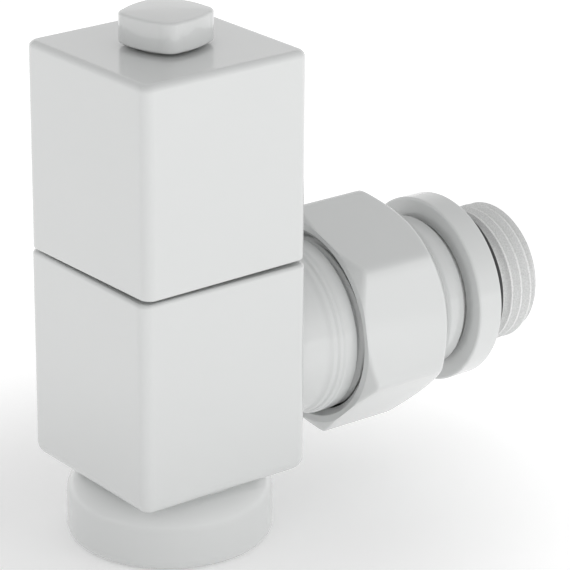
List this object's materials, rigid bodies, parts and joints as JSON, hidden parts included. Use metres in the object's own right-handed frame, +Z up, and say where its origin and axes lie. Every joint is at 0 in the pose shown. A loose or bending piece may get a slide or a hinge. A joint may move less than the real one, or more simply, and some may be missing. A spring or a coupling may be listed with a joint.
{
  "type": "lockshield valve",
  "caption": "White square-bodied angle lockshield radiator valve: lift-off square cover held by a small knob, regulating headwork inside, and a union outlet with a threaded radiator tail.",
  "frame": {"origin": "centre of the mouth of the threaded inlet socket, at the bottom of the round collar", "axes": "+Z up the inlet and spindle axis, towards the knob; +X along the outlet axis, towards the radiator"},
  "size_m": [0.0763, 0.0328, 0.0781],
  "materials": {
    "white_paint": "satin white powder coat",
    "brass": "turned, slightly dull",
    "matt_nickel": "matt nickel plate over blasted brass",
    "steel": "bright drawn",
    "rubber": "matt moulded",
    "fibre": "pressed fibre",
    "ptfe": "waxy",
    "white_plastic": "moulded"
  },
  "bodies": {
    "valve": {"valve_body": "white_paint", "bonnet": "brass", "bonnet_seal": "rubber", "gland_packing": "ptfe", "gland_nut": "brass"},
    "operating_spindle": {"spindle": "brass", "stem_seal_1": "rubber", "stem_seal_2": "rubber", "spindle_circlip": "steel"},
    "plug": {"plug_carrier": "brass", "plug_seal": "rubber", "plug_screw": "steel"},
    "cover": {"head_cover": "white_paint", "cover_insert": "white_plastic"},
    "knob_carrier": {"knob_washer": "white_plastic"},
    "knob": {"cap_knob": "white_paint", "knob_stud": "steel"},
    "union_face": {"union_seal": "fibre"},
    "tail": {"tailpiece": "matt_nickel", "tail_ring": "white_paint", "tail_seal": "rubber"},
    "ring_nut": {"union_nut": "white_paint"}
  },
  "joints": [
    {"name": "spindle_turn", "type": "hinge", "parent": "valve", "child": "operating_spindle", "pos_m": [0, 0, 0.05], "axis": [0, 0, 1], "range_deg": [0, 900]},
    {"name": "plug_lift", "type": "slide", "parent": "valve", "child": "plug", "axis": [0, 0, 1], "range_m": [0, 0.00375]},
    {"name": "cover_lift", "type": "slide", "parent": "valve", "child": "cover", "axis": [0, 0, 1], "range_m": [0, 0.03]},
    {"name": "knob_rise", "type": "slide", "parent": "cover", "child": "knob_carrier", "axis": [0, 0, 1], "range_m": [0, 0.0043]},
    {"name": "knob_turn", "type": "hinge", "parent": "knob_carrier", "child": "knob", "pos_m": [0, 0, 0.075], "axis": [0, 0, 1], "range_deg": [0, 2160]},
    {"name": "tail_draw", "type": "slide", "parent": "valve", "child": "union_face", "axis": [1, 0, 0], "range_m": [0, 0.0073]},
    {"name": "tail_swivel", "type": "hinge", "parent": "union_face", "child": "tail", "pos_m": [0.03, 0, 0.0263], "axis": [1, 0, 0], "continuous": true},
    {"name": "nut_turn", "type": "hinge", "parent": "tail", "child": "ring_nut", "pos_m": [0.03, 0, 0.0263], "axis": [1, 0, 0], "range_deg": [0, 1440]}
  ],
  "couplings": [
    {"joint": "plug_lift", "follows": "spindle_turn", "m_per_rad": 0.00022282},
    {"joint": "knob_rise", "follows": "knob_turn", "m_per_rad": 0.00011141},
    {"joint": "tail_draw", "follows": "nut_turn", "m_per_rad": 0.00028871}
  ]
}
